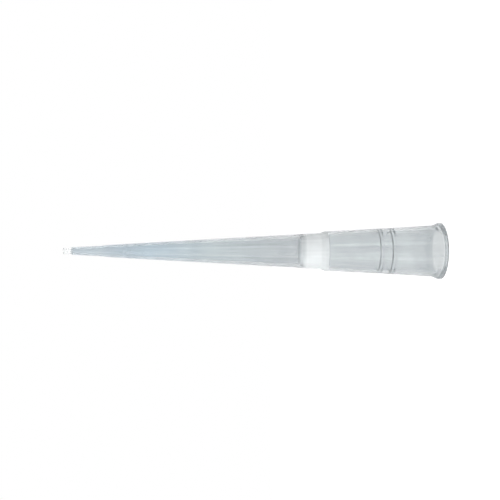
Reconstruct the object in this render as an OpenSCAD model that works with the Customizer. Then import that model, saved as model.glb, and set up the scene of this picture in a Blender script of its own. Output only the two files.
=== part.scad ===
// Filter pipette tip: a slender moulded cone with a nozzle socket at its wide end
// and a porous plug pressed in above the socket.
// It stands on its wide rim: the rim face is at Z = 0 and the fine point is at the top.
// Both pieces are turned about the Z axis. Heights are measured from the rim face.

/* [Overall] */
// Length from the rim face to the point
tip_len = 51; // [46:0.5:62]

/* [Nozzle socket] */
// Bore of the inner sealing ring, which grips the pipette's nozzle
seal_d = 5; // [4:0.05:6.2]
// Height of the inner sealing ring above the rim face
seal_z = 8.34; // [7:0.02:11]
// Distance from the inner sealing ring down to the outer one
seal_gap = 1.6; // [1:0.1:2.2]
// How much the outer ring's bore is wider, on the radius
seal_step = 0.045; // [0:0.005:0.1]
// How far the inner ring stands in from the socket wall
ring_h = 0.13; // [0.08:0.01:0.2]
// Slope of a ring's flanks, in degrees from the axis
ring_flank = 34; // [30:1:60]
// Width of the flat crest of a sealing ring
ring_land = 0.22; // [0.1:0.02:0.3]
// Draft of the socket wall, in degrees from the axis
socket_draft = 2.5; // [1.5:0.1:3]
// Height of the chamfer at the mouth
lead_len = 0.25; // [0.15:0.01:0.5]
// How much that chamfer widens the mouth, on the radius
lead_out = 0.34; // [0.1:0.01:0.4]

/* [Collar] */
// Wall thickness of the collar midway between the sealing rings
collar_wall = 0.42; // [0.3:0.01:0.6]
// Draft of the collar's outside below the rings, in degrees
collar_draft_low = 3.3; // [2.5:0.1:4]
// Draft of the collar's outside above the rings, in degrees
collar_draft_high = 2.9; // [2.5:0.1:3.3]
// Height of the collar, from the rim face to the foot of the shoulder
collar_len = 15.7; // [13:0.05:19]
// Height of the shoulder cone that ends the collar
shoulder_len = 0.55; // [0.3:0.05:1]
// How far the shoulder steps in, on the radius
shoulder_in = 0.205; // [0.1:0.005:0.3]

/* [Rim] */
// Height of the flared rim
flare_len = 1.12; // [0.8:0.02:1.6]
// How far the flare reaches beyond the collar, on the radius
flare_out = 0.365; // [0.2:0.005:0.5]
// Height of the upright land at the rim's edge
rim_land = 0.2; // [0.1:0.02:0.4]
// Height of the bevel between the land and the flare
rim_bevel_len = 0.22; // [0.1:0.02:0.3]
// Inset of the bevel between the land and the flare
rim_bevel_in = 0.05; // [0.02:0.01:0.1]
// Break on the edges of the rim face
rim_break = 0.05; // [0.02:0.01:0.08]

/* [Filter plug] */
// Length of the porous plug
plug_len = 3.85; // [3:0.05:5]
// How far the plug reaches back below the foot of the shoulder
plug_back = 0.46; // [0.1:0.02:0.8]
// Gap between plug and seat: 0 where the plug is pressed in
plug_clear = 0; // [0:0.005:0.03]
// Height of the bevel on the plug's wide end
plug_edge_len = 0.1; // [0.06:0.02:0.3]
// Inset of the bevel on the plug's wide end
plug_edge_in = 0.04; // [0.02:0.02:0.2]
// Height of the bevel on the plug's narrow end
plug_nose_len = 0.65; // [0.2:0.05:1]
// Inset of the bevel on the plug's narrow end
plug_nose_in = 0.3; // [0.1:0.02:0.5]

/* [Filter seat] */
// Wall thickness around the plug, at the top of the shoulder
seat_wall = 0.34; // [0.25:0.01:0.5]
// Draft of the seat's bore, in degrees
seat_draft = 2.3; // [1.5:0.1:3]
// Height of the ramp between the socket and the seat
seat_ramp = 3.2; // [1:0.1:3.6]
// Free length of the seat below the plug, and between the plug's bevel and the stop
seat_spare = 0.07; // [0.05:0.01:0.2]
// How far the conical stop above the seat stands in, on the radius
stop_in = 0.2; // [0.1:0.01:0.24]
// Height of that stop
stop_len = 0.44; // [0.3:0.02:0.6]
// Step on the outside where the seat ends
lip_in = 0.02; // [0.01:0.005:0.06]
// Height of that step
lip_len = 0.3; // [0.1:0.02:0.4]

/* [Shaft and point] */
// Outside diameter at the foot of the neck
neck_d = 1.67; // [1.5:0.01:1.9]
// Height of the neck, where the shaft draws in to the point
neck_len = 1.2; // [0.8:0.1:2]
// Length of the fine point above the neck
point_len = 4.8; // [4:0.1:6]
// Outside diameter at the foot of the fine point
point_d = 1.4; // [1.25:0.01:1.5]
// Outside diameter at the top of the fine point, below the nib
point_end_d = 1.06; // [1:0.01:1.15]
// Wall thickness at the foot of the fine point
point_wall = 0.27; // [0.2:0.01:0.32]
// Length of the nib that carries the orifice
nib_len = 1.15; // [0.8:0.05:1.5]
// Outside diameter of the nib at its foot
nib_d = 0.92; // [0.85:0.01:0.98]
// Outside diameter of the nib at its end
nib_end_d = 0.86; // [0.78:0.01:0.9]
// Diameter of the orifice
orifice_d = 0.47; // [0.4:0.01:0.55]
// Break on the outer edge of the orifice
nib_break = 0.05; // [0.02:0.01:0.08]

/* [Hidden] */
round_fn = 128;

// The point midway between the sealing rings is where the wall thickness is set
mid_z = seal_z - seal_gap / 2;
seal_r = seal_d / 2;

// The socket wall and the collar are cones through known radii at known heights
function socket_r(z) = seal_r + ring_h + (seal_z - z) * tan(socket_draft);
function collar_draft(z) = z < mid_z ? collar_draft_low : collar_draft_high;
function collar_r(z) = socket_r(mid_z) + collar_wall + (mid_z - z) * tan(collar_draft(z));

// The shoulder, then the outside of the filter seat
seat_foot_z = collar_len + shoulder_len;
seat_foot_r = collar_r(seat_foot_z) - shoulder_in;
function seat_outer_r(z) = seat_foot_r - (z - seat_foot_z) * tan(collar_draft_high);

// The bore of the filter seat, and where the plug lies in it
function seat_r(z) = seat_foot_r - seat_wall - (z - seat_foot_z) * tan(seat_draft);
plug_z = collar_len - plug_back;
plug_top_z = plug_z + plug_len;
seat_start_z = plug_z - seat_spare;
seat_end_z = plug_top_z + seat_spare;
stop_z = plug_top_z - plug_nose_len + seat_spare;
ramp_z = seat_start_z - seat_ramp;

// The shaft and the fine point hang from the tip's own end
shaft_z = seat_end_z + lip_len;
shaft_r = seat_outer_r(seat_end_z) - lip_in - lip_len * tan(collar_draft_high);
point_z = tip_len - point_len;
neck_z = point_z - neck_len;
nib_z = tip_len - nib_len;

// One sealing ring: foot, crest, crest, foot, going up from the rim side
function ring_reach(z, crest_r) = ring_land / 2 + (socket_r(z) - crest_r) / tan(ring_flank);
function ring(z, crest_r) = [
    [socket_r(z - ring_reach(z, crest_r)), z - ring_reach(z, crest_r)],
    [crest_r, z - ring_land / 2],
    [crest_r, z + ring_land / 2],
    [socket_r(z + ring_reach(z, crest_r)), z + ring_reach(z, crest_r)]
];

outside = [
    [collar_r(flare_len) + flare_out - rim_break, 0],
    [collar_r(flare_len) + flare_out, rim_break],
    [collar_r(flare_len) + flare_out, rim_land],
    [collar_r(flare_len) + flare_out - rim_bevel_in, rim_land + rim_bevel_len],
    [collar_r(flare_len), flare_len],
    [collar_r(mid_z), mid_z],
    [collar_r(collar_len), collar_len],
    [seat_foot_r, seat_foot_z],
    [seat_outer_r(seat_end_z), seat_end_z],
    [shaft_r, shaft_z],
    [neck_d / 2, neck_z],
    [point_d / 2, point_z],
    [point_end_d / 2, nib_z],
    [nib_d / 2, nib_z],
    [nib_end_d / 2, tip_len - nib_break],
    [nib_end_d / 2 - nib_break, tip_len]
];

inside = concat(
    [
        [socket_r(lead_len) + lead_out + rim_break, 0],
        [socket_r(lead_len) + lead_out, rim_break],
        [socket_r(lead_len), lead_len]
    ],
    ring(seal_z - seal_gap, seal_r + seal_step),
    ring(seal_z, seal_r),
    [
        [socket_r(ramp_z), ramp_z],
        [seat_r(seat_start_z), seat_start_z],
        [seat_r(stop_z), stop_z],
        [seat_r(stop_z) - stop_in, stop_z + stop_len],
        [point_d / 2 - point_wall, point_z],
        [orifice_d / 2, tip_len]
    ]
);

plug = [
    [0, plug_z],
    [seat_r(plug_z) - plug_clear - plug_edge_in, plug_z],
    [seat_r(plug_z + plug_edge_len) - plug_clear, plug_z + plug_edge_len],
    [seat_r(plug_top_z - plug_nose_len) - plug_clear, plug_top_z - plug_nose_len],
    [seat_r(plug_top_z) - plug_clear - plug_nose_in, plug_top_z],
    [0, plug_top_z]
];

function reversed(points) = [for (i = [len(points) - 1 : -1 : 0]) points[i]];

// The moulded body: one thin wall from the flared rim to the orifice
module tip_body() {
    color([0.80, 0.84, 0.86, 0.5])
        rotate_extrude($fn = round_fn)
            polygon(concat(outside, reversed(inside)));
}

// The porous plug, pressed up the socket into the tapered seat
module filter_plug() {
    color("white")
        rotate_extrude($fn = round_fn)
            polygon(plug);
}

tip_body();
filter_plug();
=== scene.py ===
import math

import bpy
from mathutils import Matrix, Vector


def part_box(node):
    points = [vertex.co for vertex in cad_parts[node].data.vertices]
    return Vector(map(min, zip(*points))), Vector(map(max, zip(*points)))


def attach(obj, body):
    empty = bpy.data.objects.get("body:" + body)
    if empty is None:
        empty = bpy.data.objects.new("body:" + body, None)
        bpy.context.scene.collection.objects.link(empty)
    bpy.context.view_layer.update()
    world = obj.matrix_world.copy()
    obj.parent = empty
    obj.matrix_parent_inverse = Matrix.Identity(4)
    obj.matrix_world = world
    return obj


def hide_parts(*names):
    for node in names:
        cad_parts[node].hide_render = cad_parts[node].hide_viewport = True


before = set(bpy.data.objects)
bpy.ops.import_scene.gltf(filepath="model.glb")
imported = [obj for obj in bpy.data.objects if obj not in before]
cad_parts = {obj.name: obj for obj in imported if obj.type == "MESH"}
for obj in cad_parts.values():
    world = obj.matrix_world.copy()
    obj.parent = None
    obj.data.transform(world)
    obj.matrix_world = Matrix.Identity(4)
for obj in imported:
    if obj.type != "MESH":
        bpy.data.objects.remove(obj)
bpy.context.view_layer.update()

# Tip body
# One injection moulding in natural polypropylene, from the flared rim at the bottom to the orifice
# at the top. The core pin and the cavity leave a wall a few tenths of a millimetre thick, with two
# sealing rings inside the socket and a slightly narrower seat for the filter.

# Sizes are in millimetres, and heights are measured from the rim face
MM = 0.001
tip_low, tip_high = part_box("tip_body")
tip_len = (tip_high[2] - tip_low[2]) / MM
rim_r = min(-tip_low[0], tip_high[0]) / MM

# The socket and its two sealing rings, then the chamfer at its mouth
seal_r = 2.5
seal_z = 8.34
seal_gap = 1.6
seal_step = 0.045
ring_h = 0.13
ring_flank = math.radians(34)
ring_land = 0.22
ring_round = 0.06
socket_draft = math.radians(2.5)
lead_len = 0.25
lead_out = 0.34
lead_round = 0.02
mouth_round = 0.01

# The collar round the socket, and the shoulder that ends it
collar_wall = 0.42
draft_low = math.radians(3.3)
draft_high = math.radians(2.9)
draft_round = 3
collar_len = 15.7
shoulder_len = 0.55
shoulder_in = 0.205
shoulder_round = 0.2

# The flared rim
flare_len = 1.12
flare_round = 0.35
rim_land = 0.2
rim_round = 0.03
land_round = 0.1
rim_bevel_len = 0.22
rim_bevel_in = 0.05
bevel_round = 0.25

# The seat, worked out from the plug that it holds, and the conical stop above it
plug_len = 3.85
plug_back = 0.46
plug_edge_len = 0.1
plug_edge_in = 0.04
plug_nose_len = 0.65
plug_nose_in = 0.3
seat_wall = 0.34
seat_draft = math.radians(2.3)
seat_round = 0.15
seat_ramp = 3.2
ramp_round = 0.3
seat_spare = 0.07
stop_in = 0.2
stop_len = 0.44
stop_round = 0.04
lip_in = 0.02
lip_len = 0.3
lip_round = 0.3

# The neck, the fine point and the nib with the orifice
neck_r = 0.835
neck_len = 1.2
neck_round = 2
point_len = 4.8
point_r = 0.7
point_end_r = 0.53
point_wall = 0.27
bore_round = 3
nib_len = 1.15
nib_r = 0.46
nib_end_r = 0.43
nib_round = 0.025
nib_edge_round = 0.06
orifice_r = 0.235
orifice_round = 0.04

mid_z = seal_z - seal_gap / 2


def socket_r(z):
    return seal_r + ring_h + (seal_z - z) * math.tan(socket_draft)


def collar_r(z):
    draft = draft_low if z < mid_z else draft_high
    return socket_r(mid_z) + collar_wall + (mid_z - z) * math.tan(draft)


seat_foot_z = collar_len + shoulder_len
seat_foot_r = collar_r(seat_foot_z) - shoulder_in


def seat_outer_r(z):
    return seat_foot_r - (z - seat_foot_z) * math.tan(draft_high)


def seat_r(z):
    return seat_foot_r - seat_wall - (z - seat_foot_z) * math.tan(seat_draft)


plug_z = collar_len - plug_back
plug_top_z = plug_z + plug_len
plug_nose_z = plug_top_z - plug_nose_len
seat_start_z = plug_z - seat_spare
seat_end_z = plug_top_z + seat_spare
stop_z = plug_nose_z + seat_spare
ramp_z = seat_start_z - seat_ramp
shaft_z = seat_end_z + lip_len
shaft_r = seat_outer_r(seat_end_z) - lip_in - lip_len * math.tan(draft_high)
point_z = tip_len - point_len
neck_z = point_z - neck_len
nib_z = tip_len - nib_len


def ring(z, crest_r):
    """One sealing ring, going up: foot, crest, crest and foot."""
    reach = ring_land / 2 + (socket_r(z) - crest_r) / math.tan(ring_flank)
    return [
        (socket_r(z - reach), z - reach, ring_round),
        (crest_r, z - ring_land / 2, ring_round),
        (crest_r, z + ring_land / 2, ring_round),
        (socket_r(z + reach), z + reach, ring_round),
    ]


# Each corner is radius, height and the rounding that the mould leaves there
outside = [
    (rim_r, 0, rim_round),
    (rim_r, rim_land, land_round),
    (rim_r - rim_bevel_in, rim_land + rim_bevel_len, bevel_round),
    (collar_r(flare_len), flare_len, flare_round),
    (collar_r(mid_z), mid_z, draft_round),
    (collar_r(collar_len), collar_len, shoulder_round),
    (seat_foot_r, seat_foot_z, shoulder_round),
    (seat_outer_r(seat_end_z), seat_end_z, lip_round),
    (shaft_r, shaft_z, lip_round),
    (neck_r, neck_z, neck_round),
    (point_r, point_z, neck_round),
    (point_end_r, nib_z, nib_round),
    (nib_r, nib_z, nib_round),
    (nib_end_r, tip_len, nib_edge_round),
]
inside = [
    (orifice_r, tip_len, orifice_round),
    (point_r - point_wall, point_z, bore_round),
    (seat_r(stop_z) - stop_in, stop_z + stop_len, stop_round),
    (seat_r(stop_z), stop_z, stop_round),
    (seat_r(seat_start_z), seat_start_z, seat_round),
    (socket_r(ramp_z), ramp_z, ramp_round),
    *reversed(ring(seal_z, seal_r)),
    *reversed(ring(seal_z - seal_gap, seal_r + seal_step)),
    (socket_r(lead_len), lead_len, lead_round),
    (socket_r(lead_len) + lead_out, 0, mouth_round),
]


def rounded(corners, closed=True, longest=0.8):
    """The outline with its corners rounded and no stretch longer than the longest.

    A round turns by at most 10 degrees a step and takes at most 0.45 of its shorter side. A guard
    point stands just beyond each end of it, so that smooth shading stays on the round.
    """
    turn = math.radians(10)
    reach_share = 0.45
    guard_share = 0.04
    guard = 0.012
    stretches = []
    count = len(corners)
    for i, (r, z, radius) in enumerate(corners):
        here = Vector((r, z))
        if not closed and i in (0, count - 1):
            stretches.append([here])
            continue
        back = Vector(corners[i - 1][:2]) - here
        on = Vector(corners[(i + 1) % count][:2]) - here
        shorter = min(back.length, on.length)
        back.normalize()
        on.normalize()
        half = back.angle(on) / 2
        bend = math.pi - 2 * half
        cut = min(radius * math.tan(bend / 2), shorter * reach_share)
        true_radius = cut / math.tan(bend / 2)
        centre = here + (back + on).normalized() * (true_radius / math.sin(half))
        start, end = here + back * cut, here + on * cut
        a, b = start - centre, end - centre
        steps = max(2, math.ceil(bend / turn))
        angles = [bend * k / steps for k in range(steps + 1)]
        arc = [centre + (a * math.sin(bend - angle) + b * math.sin(angle)) / math.sin(bend)
               for angle in angles]
        side = min(guard, shorter * guard_share)
        stretches.append([start + back * side, *arc, end + on * side])
    outline = []
    for i, stretch in enumerate(stretches):
        outline += stretch
        if not closed and i == count - 1:
            break
        gap = stretches[(i + 1) % count][0] - stretch[-1]
        parts = max(1, math.ceil(gap.length / longest))
        outline += [stretch[-1] + gap * k / parts for k in range(1, parts)]
    return [tuple(point) for point in outline]


def add(tree, kind, links=None, **settings):
    """Adds a node with its settings; links maps an input's name or number to a value or to an output."""
    node = tree.nodes.new(kind)
    for name, value in settings.items():
        setattr(node, name, value)
    for key, value in (links or {}).items():
        if isinstance(value, bpy.types.NodeSocket):
            tree.links.new(value, node.inputs[key])
        else:
            node.inputs[key].default_value = value
    return node


# The lathe sweeps the outline along a circle of this radius, and every point is set back by as much
spindle_r = 1

# Points nearer than this are made one, which closes an outline that starts and ends on the axis
weld = 0.001


def lathe_tree():
    """Turns an outline, drawn with its radius along X and its height along minus Y, round the Z axis."""
    tree = bpy.data.node_groups.new("lathe", "GeometryNodeTree")
    face = tree.interface
    face.new_socket("Outline", in_out="INPUT", socket_type="NodeSocketGeometry")
    face.new_socket("Steps round the axis", in_out="INPUT", socket_type="NodeSocketInt")
    face.new_socket("Material", in_out="INPUT", socket_type="NodeSocketMaterial")
    face.new_socket("Turned", in_out="OUTPUT", socket_type="NodeSocketGeometry")
    given = add(tree, "NodeGroupInput")
    outline, steps, material = given.outputs[:3]
    path = add(tree, "GeometryNodeCurvePrimitiveCircle", {"Resolution": steps, "Radius": spindle_r * MM})
    upright = add(tree, "GeometryNodeSetCurveNormal", {"Curve": path.outputs[0]}, mode="Z_UP")
    profile = add(tree, "GeometryNodeMeshToCurve", {"Mesh": outline})
    swept = add(tree, "GeometryNodeCurveToMesh", {
        "Curve": upright.outputs[0], "Profile Curve": profile.outputs[0]})
    merged = add(tree, "GeometryNodeMergeByDistance", {0: swept.outputs[0], "Distance": weld * MM})
    smooth = add(tree, "GeometryNodeSetShadeSmooth", {0: merged.outputs[0], "Shade Smooth": True})
    real = add(tree, "GeometryNodeRealizeInstances", {0: smooth.outputs[0]})
    coated = add(tree, "GeometryNodeSetMaterial", {"Geometry": real.outputs[0], "Material": material})
    add(tree, "NodeGroupOutput", {0: coated.outputs[0]})
    return tree


lathe = lathe_tree()


def turned(name, outline, steps, material, closed=True):
    """A plain mesh made by turning the outline, in millimetres, round the Z axis."""
    count = len(outline)
    drawing = bpy.data.meshes.new(name)
    edges = [(i, (i + 1) % count) for i in range(count if closed else count - 1)]
    drawing.from_pydata([((r - spindle_r) * MM, -z * MM, 0) for r, z in reversed(outline)], edges, [])
    piece = bpy.data.objects.new(name, drawing)
    bpy.context.scene.collection.objects.link(piece)
    turning = piece.modifiers.new("turning", "NODES")
    turning.node_group = lathe
    sockets = {s.name: s.identifier for s in lathe.interface.items_tree if s.in_out == "INPUT"}
    turning[sockets["Steps round the axis"]] = steps
    turning[sockets["Material"]] = material
    ready = piece.evaluated_get(bpy.context.evaluated_depsgraph_get())
    plain = bpy.data.meshes.new_from_object(ready)
    piece.modifiers.remove(turning)
    piece.data = plain
    bpy.data.meshes.remove(drawing)
    plain.name = name
    return piece


def linear(hex_colour):
    """An sRGB hex colour as the linear RGBA that shaders take."""
    parts = [int(hex_colour[i:i + 2], 16) / 255 for i in (0, 2, 4)]
    return (*[c / 12.92 if c <= 0.04045 else ((c + 0.055) / 1.055) ** 2.4 for c in parts], 1)


# Heights where the look changes: a hazier band behind the rim, up to band_z and gone at mouth_z, and
# two places on the shaft. A fade is the height that a change takes, and at either end of the plug a
# change takes twice the blend.
band_z = 2.2
mouth_z = 3.2
lower_z = 31
upper_z = 39
rim_fade = 0.15
nose_fade = 0.3
blend = 0.05

# Share of clear plastic in each part of the tip; the rest is milky haze
rim_clear = 0.95
band_clear = 0.72
mouth_clear = 0.83
main_clear = 0.8
seat_clear = 0.5
nose_clear = 0.72
point_clear = 0.62
nib_clear = 0.96

# Colour of the clear plastic, which the light crosses
collar_tint = "F5F8F9"
shaft_tint = "F2F4F5"
lower_tint = "F5F9FA"
upper_tint = "F0F7FB"
point_tint = "F2F7FA"
nib_tint = "FEFFFF"

# Colour of the haze, which scatters the light, and the share of it that is lit from behind
collar_milk = "D4DADD"
seat_milk = "FAFCFD"
shaft_milk = "C8CFD4"
lower_milk = "CCD8DD"
upper_milk = "C3D3DD"
point_milk = "E8EEF2"
main_behind = 0.8
seat_behind = 0.7

plastic_ior = 1.49
polish_rough = 0.04
haze_rough = 0.2

# Flow lines are finer than this on a real tip. They are drawn as coarse as they need to show:
# 40 round the axis, each 20 mm long, so that they narrow with the cone. The clouding is 2.5 mm wide.
line_count = 40
line_long = 20
line_depth = 0.05
cloud_size = 2.5
cloud_depth = 0.03


def by_height(tree, along, stops):
    """A colour or a share that changes along the tip, from a list of heights in millimetres and values."""
    node = add(tree, "ShaderNodeValToRGB", {0: along})
    while len(node.color_ramp.elements) < len(stops):
        node.color_ramp.elements.new(0.5)
    for element, (z, value) in zip(node.color_ramp.elements, stops):
        element.position = z / tip_len
        element.color = value if isinstance(value, tuple) else (value, value, value, 1)
    return node.outputs[0]


def unevenness(tree, vector, depth):
    """Soft noise from minus depth to depth, with patches one unit of the vector wide."""
    noise = add(tree, "ShaderNodeTexNoise", {"Vector": vector, "Scale": 1.0, "Detail": 3.0})
    level = add(tree, "ShaderNodeMapRange", {
        "Value": noise.outputs[0], "From Min": 0.3, "From Max": 0.7, "To Min": -depth, "To Max": depth})
    return level.outputs[0]


def natural_polypropylene():
    """Uncoloured polypropylene off a polished mould, with its lengthwise flow lines.

    The eye sees a clear, cool grey wall with a little milk in it, whitest round the plug, where the
    wall lies on the filter, and paler again at the point.
    """
    mat = bpy.data.materials.new("natural_polypropylene")
    mat.use_nodes = True
    tree = mat.node_tree
    tree.nodes.clear()
    place = add(tree, "ShaderNodeTexCoord").outputs["Object"]
    height = add(tree, "ShaderNodeSeparateXYZ", {0: place})
    along = add(tree, "ShaderNodeMath", {0: height.outputs["Z"], 1: tip_len * MM}, operation="DIVIDE")
    along = along.outputs[0]

    # The plug's reach, with a short blend at both ends: outside, inside, inside, outside
    seat = (plug_z - blend, plug_z + blend, plug_top_z - blend, plug_top_z + blend)
    glass_tint = by_height(tree, along, [
        (plug_z, linear(collar_tint)), (plug_top_z, linear(shaft_tint)),
        (lower_z, linear(lower_tint)), (upper_z, linear(upper_tint)), (point_z, linear(point_tint)),
        (nib_z - 2 * blend, linear(point_tint)), (nib_z + blend, linear(nib_tint))])
    milk_tint = by_height(tree, along, [
        (seat[0], linear(collar_milk)), (seat[1], linear(seat_milk)),
        (seat[2], linear(seat_milk)), (seat[3], linear(shaft_milk)),
        (lower_z, linear(lower_milk)), (upper_z, linear(upper_milk)), (point_z, linear(point_milk))])
    behind_share = by_height(tree, along, [
        (seat[0], main_behind), (seat[1], seat_behind), (seat[2], seat_behind), (seat[3], main_behind)])
    clear_share = by_height(tree, along, [
        (rim_land, rim_clear), (rim_land + rim_fade, band_clear), (band_z, band_clear),
        (mouth_z, mouth_clear), (seal_z - seal_gap, mouth_clear), (seal_z, main_clear),
        (seat[0], main_clear), (seat[1], seat_clear), (plug_nose_z - nose_fade, seat_clear),
        (plug_nose_z, nose_clear), (seat[2], nose_clear), (seat[3], main_clear),
        (upper_z, main_clear), (point_z, point_clear),
        (nib_z - 2 * blend, point_clear), (nib_z + blend, nib_clear)])

    # The flow lines follow the turn round the axis, and a slow rise along it
    sideways = add(tree, "ShaderNodeVectorMath", {0: place, 1: (1, 1, 0)}, operation="MULTIPLY")
    turn = add(tree, "ShaderNodeVectorMath", {0: sideways.outputs[0]}, operation="NORMALIZE")
    rise = add(tree, "ShaderNodeVectorMath", {
        0: place, 1: (0, 0, 1 / (line_long * MM))}, operation="MULTIPLY")
    drawn = add(tree, "ShaderNodeVectorMath", {
        0: turn.outputs[0], 1: [line_count / math.tau] * 3, 2: rise.outputs[0]}, operation="MULTIPLY_ADD")
    patch = add(tree, "ShaderNodeVectorMath", {
        0: place, 1: [1 / (cloud_size * MM)] * 3}, operation="MULTIPLY")
    lines = unevenness(tree, drawn.outputs[0], line_depth)
    clouds = unevenness(tree, patch.outputs[0], cloud_depth)
    uneven = add(tree, "ShaderNodeMath", {0: lines, 1: clouds}, operation="ADD")
    share = add(tree, "ShaderNodeMath", {
        0: clear_share, 1: uneven.outputs[0]}, operation="ADD", use_clamp=True)

    clear = add(tree, "ShaderNodeBsdfPrincipled", {
        "Base Color": glass_tint, "Roughness": polish_rough, "IOR": plastic_ior, "Transmission Weight": 1.0})
    front = add(tree, "ShaderNodeBsdfPrincipled", {
        "Base Color": milk_tint, "Roughness": haze_rough, "IOR": plastic_ior})
    behind = add(tree, "ShaderNodeBsdfTranslucent", {"Color": milk_tint})
    milk = add(tree, "ShaderNodeMixShader", {0: behind_share, 1: front.outputs[0], 2: behind.outputs[0]})
    hazy = add(tree, "ShaderNodeMixShader", {0: share.outputs[0], 1: milk.outputs[0], 2: clear.outputs[0]})
    add(tree, "ShaderNodeOutputMaterial", {"Surface": hazy.outputs[0]})
    return mat


body_steps = 256
body = turned("pipette_tip_body", rounded(outside + inside), body_steps, natural_polypropylene())
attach(body, "root")
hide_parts("tip_body")

# Filter plug
# A white plug of polyethylene grains sintered into one porous piece. It is pressed up the socket into
# the tapered seat and held by the squeeze of the wall, with its longer bevel towards the point.

# How far it reaches into the wall, so that no two faces lie in one place
squeeze = 0.01
foot_round = 0.05
edge_round = 0.15
knee_round = 0.8
nose_round = 0.5
plug_outline = [
    (0, plug_z, 0),
    (seat_r(plug_z) + squeeze - plug_edge_in, plug_z, foot_round),
    (seat_r(plug_z + plug_edge_len) + squeeze, plug_z + plug_edge_len, edge_round),
    (seat_r(plug_nose_z) + squeeze, plug_nose_z, knee_round),
    (seat_r(plug_top_z) + squeeze - plug_nose_in, plug_top_z, nose_round),
    (0, plug_top_z, 0),
]

# The grains of such a filter are finer than this; they are drawn as coarse as they need to show
grain_size = 0.22
grain_depth = 0.01
grain_top = "FFFFFF"
# The colour in the gaps between the grains is painted shade in the pores, a little darker than the white
# grains
pore_shade = "F6F8F8"
grain_rough = 0.9
grain_ior = 1.5
grain_gloss = 0.0


def sintered_polyethylene():
    """White polyethylene grains, fused where they touch: a chalky, matt face without any gloss, and painted
    shade in the gaps between the grains.
    """
    mat = bpy.data.materials.new("sintered_polyethylene")
    mat.use_nodes = True
    tree = mat.node_tree
    tree.nodes.clear()
    place = add(tree, "ShaderNodeTexCoord").outputs["Object"]
    scaled = add(tree, "ShaderNodeMapping", {"Vector": place, "Scale": [1 / (grain_size * MM)] * 3})
    cells = add(tree, "ShaderNodeTexVoronoi", {"Vector": scaled.outputs[0], "Scale": 1.0})
    # White on each grain, turning to the painted pore shade towards the low gaps between grains
    tone_and_pore_shade = add(tree, "ShaderNodeMix", {
        0: cells.outputs[0], 6: linear(grain_top), 7: linear(pore_shade)}, data_type="RGBA")
    bump = add(tree, "ShaderNodeBump", {
        "Height": cells.outputs[0], "Strength": 1.0, "Distance": grain_depth * MM}, invert=True)
    grain = add(tree, "ShaderNodeBsdfPrincipled", {
        "Base Color": tone_and_pore_shade.outputs[2], "Roughness": grain_rough, "IOR": grain_ior,
        "Specular IOR Level": grain_gloss, "Normal": bump.outputs[0]})
    add(tree, "ShaderNodeOutputMaterial", {"Surface": grain.outputs[0]})
    return mat


plug_steps = 128
plug_stretch = 0.25
plug = turned("sintered_filter_plug", rounded(plug_outline, closed=False, longest=plug_stretch),
              plug_steps, sintered_polyethylene(), closed=False)
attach(plug, "root")
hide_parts("filter_plug")

# Stage
# White paper under the tip and white all round it, with a low even light. Gloss and clear plastic see
# the same white, except steeply downward, where it is nearly dark for them: that draws the thin dark
# lines at the rings, the rim and the corners of the moulding.
even_light = 0.3
dark_level = 0.05

# Between these slopes of a ray the dark turns white; 0 is level and -1 is straight down
dark_below = -0.85
white_above = -0.65


def seen_rays(tree):
    """Which rays come from the camera, and which show the surroundings in gloss or through plastic."""
    path = add(tree, "ShaderNodeLightPath").outputs
    seen = add(tree, "ShaderNodeMath", {
        0: path["Is Glossy Ray"], 1: path["Is Transmission Ray"]}, operation="MAXIMUM")
    return path["Is Camera Ray"], seen.outputs[0]


world = bpy.data.worlds.new("studio")
bpy.context.scene.world = world
world.use_nodes = True
tree = world.node_tree
tree.nodes.clear()
camera_ray, seen_ray = seen_rays(tree)
way = add(tree, "ShaderNodeTexCoord")
slope = add(tree, "ShaderNodeSeparateXYZ", {0: way.outputs["Generated"]})
shown = add(tree, "ShaderNodeMapRange", {
    "Value": slope.outputs["Z"], "From Min": dark_below, "From Max": white_above,
    "To Min": dark_level, "To Max": 1.0})
around = add(tree, "ShaderNodeMix", {0: seen_ray, 2: even_light, 3: shown.outputs[0]}, data_type="FLOAT")
level = add(tree, "ShaderNodeMix", {0: camera_ray, 2: around.outputs[0], 3: 1.0}, data_type="FLOAT")
light = add(tree, "ShaderNodeBackground", {"Color": (1, 1, 1, 1), "Strength": level.outputs[0]})
add(tree, "ShaderNodeOutputWorld", {"Surface": light.outputs[0]})

# The sheet is 1.2 m wide. For the camera it has a glow of its own, and gloss and plastic see past it.
paper_half = 0.6
paper_white = 0.8
paper_glow = 0.8
sheet = bpy.data.meshes.new("floor")
corners = [(x * paper_half, y * paper_half, 0) for x, y in ((-1, -1), (1, -1), (1, 1), (-1, 1))]
sheet.from_pydata(corners, [], [(0, 1, 2, 3)])
floor = bpy.data.objects.new("floor", sheet)
bpy.context.scene.collection.objects.link(floor)
paper = bpy.data.materials.new("white_paper")
paper.use_nodes = True
tree = paper.node_tree
tree.nodes.clear()
camera_ray, seen_ray = seen_rays(tree)
matt = add(tree, "ShaderNodeBsdfDiffuse", {"Color": (paper_white, paper_white, paper_white, 1)})
glow = add(tree, "ShaderNodeEmission", {"Color": (1, 1, 1, 1), "Strength": paper_glow})
glowing = add(tree, "ShaderNodeAddShader", {0: matt.outputs[0], 1: glow.outputs[0]})
lit = add(tree, "ShaderNodeMixShader", {0: camera_ray, 1: matt.outputs[0], 2: glowing.outputs[0]})
away = add(tree, "ShaderNodeBsdfTransparent")
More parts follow.
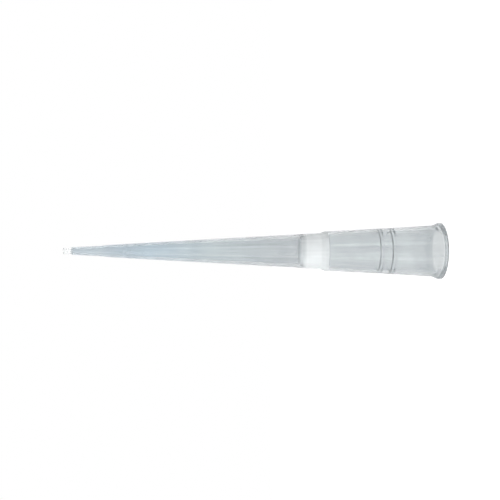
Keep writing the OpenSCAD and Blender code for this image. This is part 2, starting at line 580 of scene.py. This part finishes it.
either = add(tree, "ShaderNodeMixShader", {0: seen_ray, 1: lit.outputs[0], 2: away.outputs[0]})
add(tree, "ShaderNodeOutputMaterial", {"Surface": either.outputs[0]})
sheet.materials.append(paper)

# Lamps
# One large soft lamp lights the plug and the haze, and gloss doesn't mirror it. Three narrow upright
# strips draw the lengthwise highlights. All are level with the middle of the tip and face it.
middle = Vector((0, 0, tip_len / 2 * MM))
lamp_height = 0.5


def lamp(name, azimuth, distance, width, watts, mirrored=True):
    """An upright area lamp facing the tip: 0 degrees is the camera's side, minus Y, and 90 is plus X.

    The watts are for each square metre of the lamp.
    """
    data = bpy.data.lights.new(name, "AREA")
    data.shape = "RECTANGLE"
    data.size, data.size_y = width, lamp_height
    data.energy = watts * width * lamp_height
    spot = bpy.data.objects.new(name, data)
    bpy.context.scene.collection.objects.link(spot)
    side = math.radians(azimuth)
    toward = Vector((math.sin(side), -math.cos(side), 0))
    spot.location = middle + toward * distance
    spot.rotation_euler = toward.to_track_quat("Z", "Y").to_euler()
    spot.visible_glossy = mirrored


lamp("key_softbox", azimuth=-38, distance=0.45, width=0.5, watts=7.8, mirrored=False)
lamp("key_strip", azimuth=-41, distance=0.4, width=0.07, watts=4.4)
lamp("fill_strip", azimuth=31, distance=0.4, width=0.1, watts=2.4)
lamp("top_strip", azimuth=99, distance=0.4, width=0.05, watts=1.6)

# Camera
# It looks level along Y at about the middle of the standing tip, 81 mm away, and is turned 90 degrees
# about its line of sight, so that the point is on the left and the rim on the right.
camera_x = 0.000135
camera_y = -0.08116
camera_z = 0.02573
shot = bpy.data.cameras.new("camera")
shot.sensor_width = 36
shot.lens = 43.13
shot.clip_start = 0.001
shot.clip_end = 10
camera = bpy.data.objects.new("camera", shot)
bpy.context.scene.collection.objects.link(camera)
right, up, back = Vector((0, 0, -1)), Vector((1, 0, 0)), Vector((0, -1, 0))
turned_side = Matrix((right, up, back)).transposed().to_4x4()
camera.matrix_world = Matrix.Translation((camera_x, camera_y, camera_z)) @ turned_side
bpy.context.scene.camera = camera
bpy.context.scene.view_settings.view_transform = "Standard"
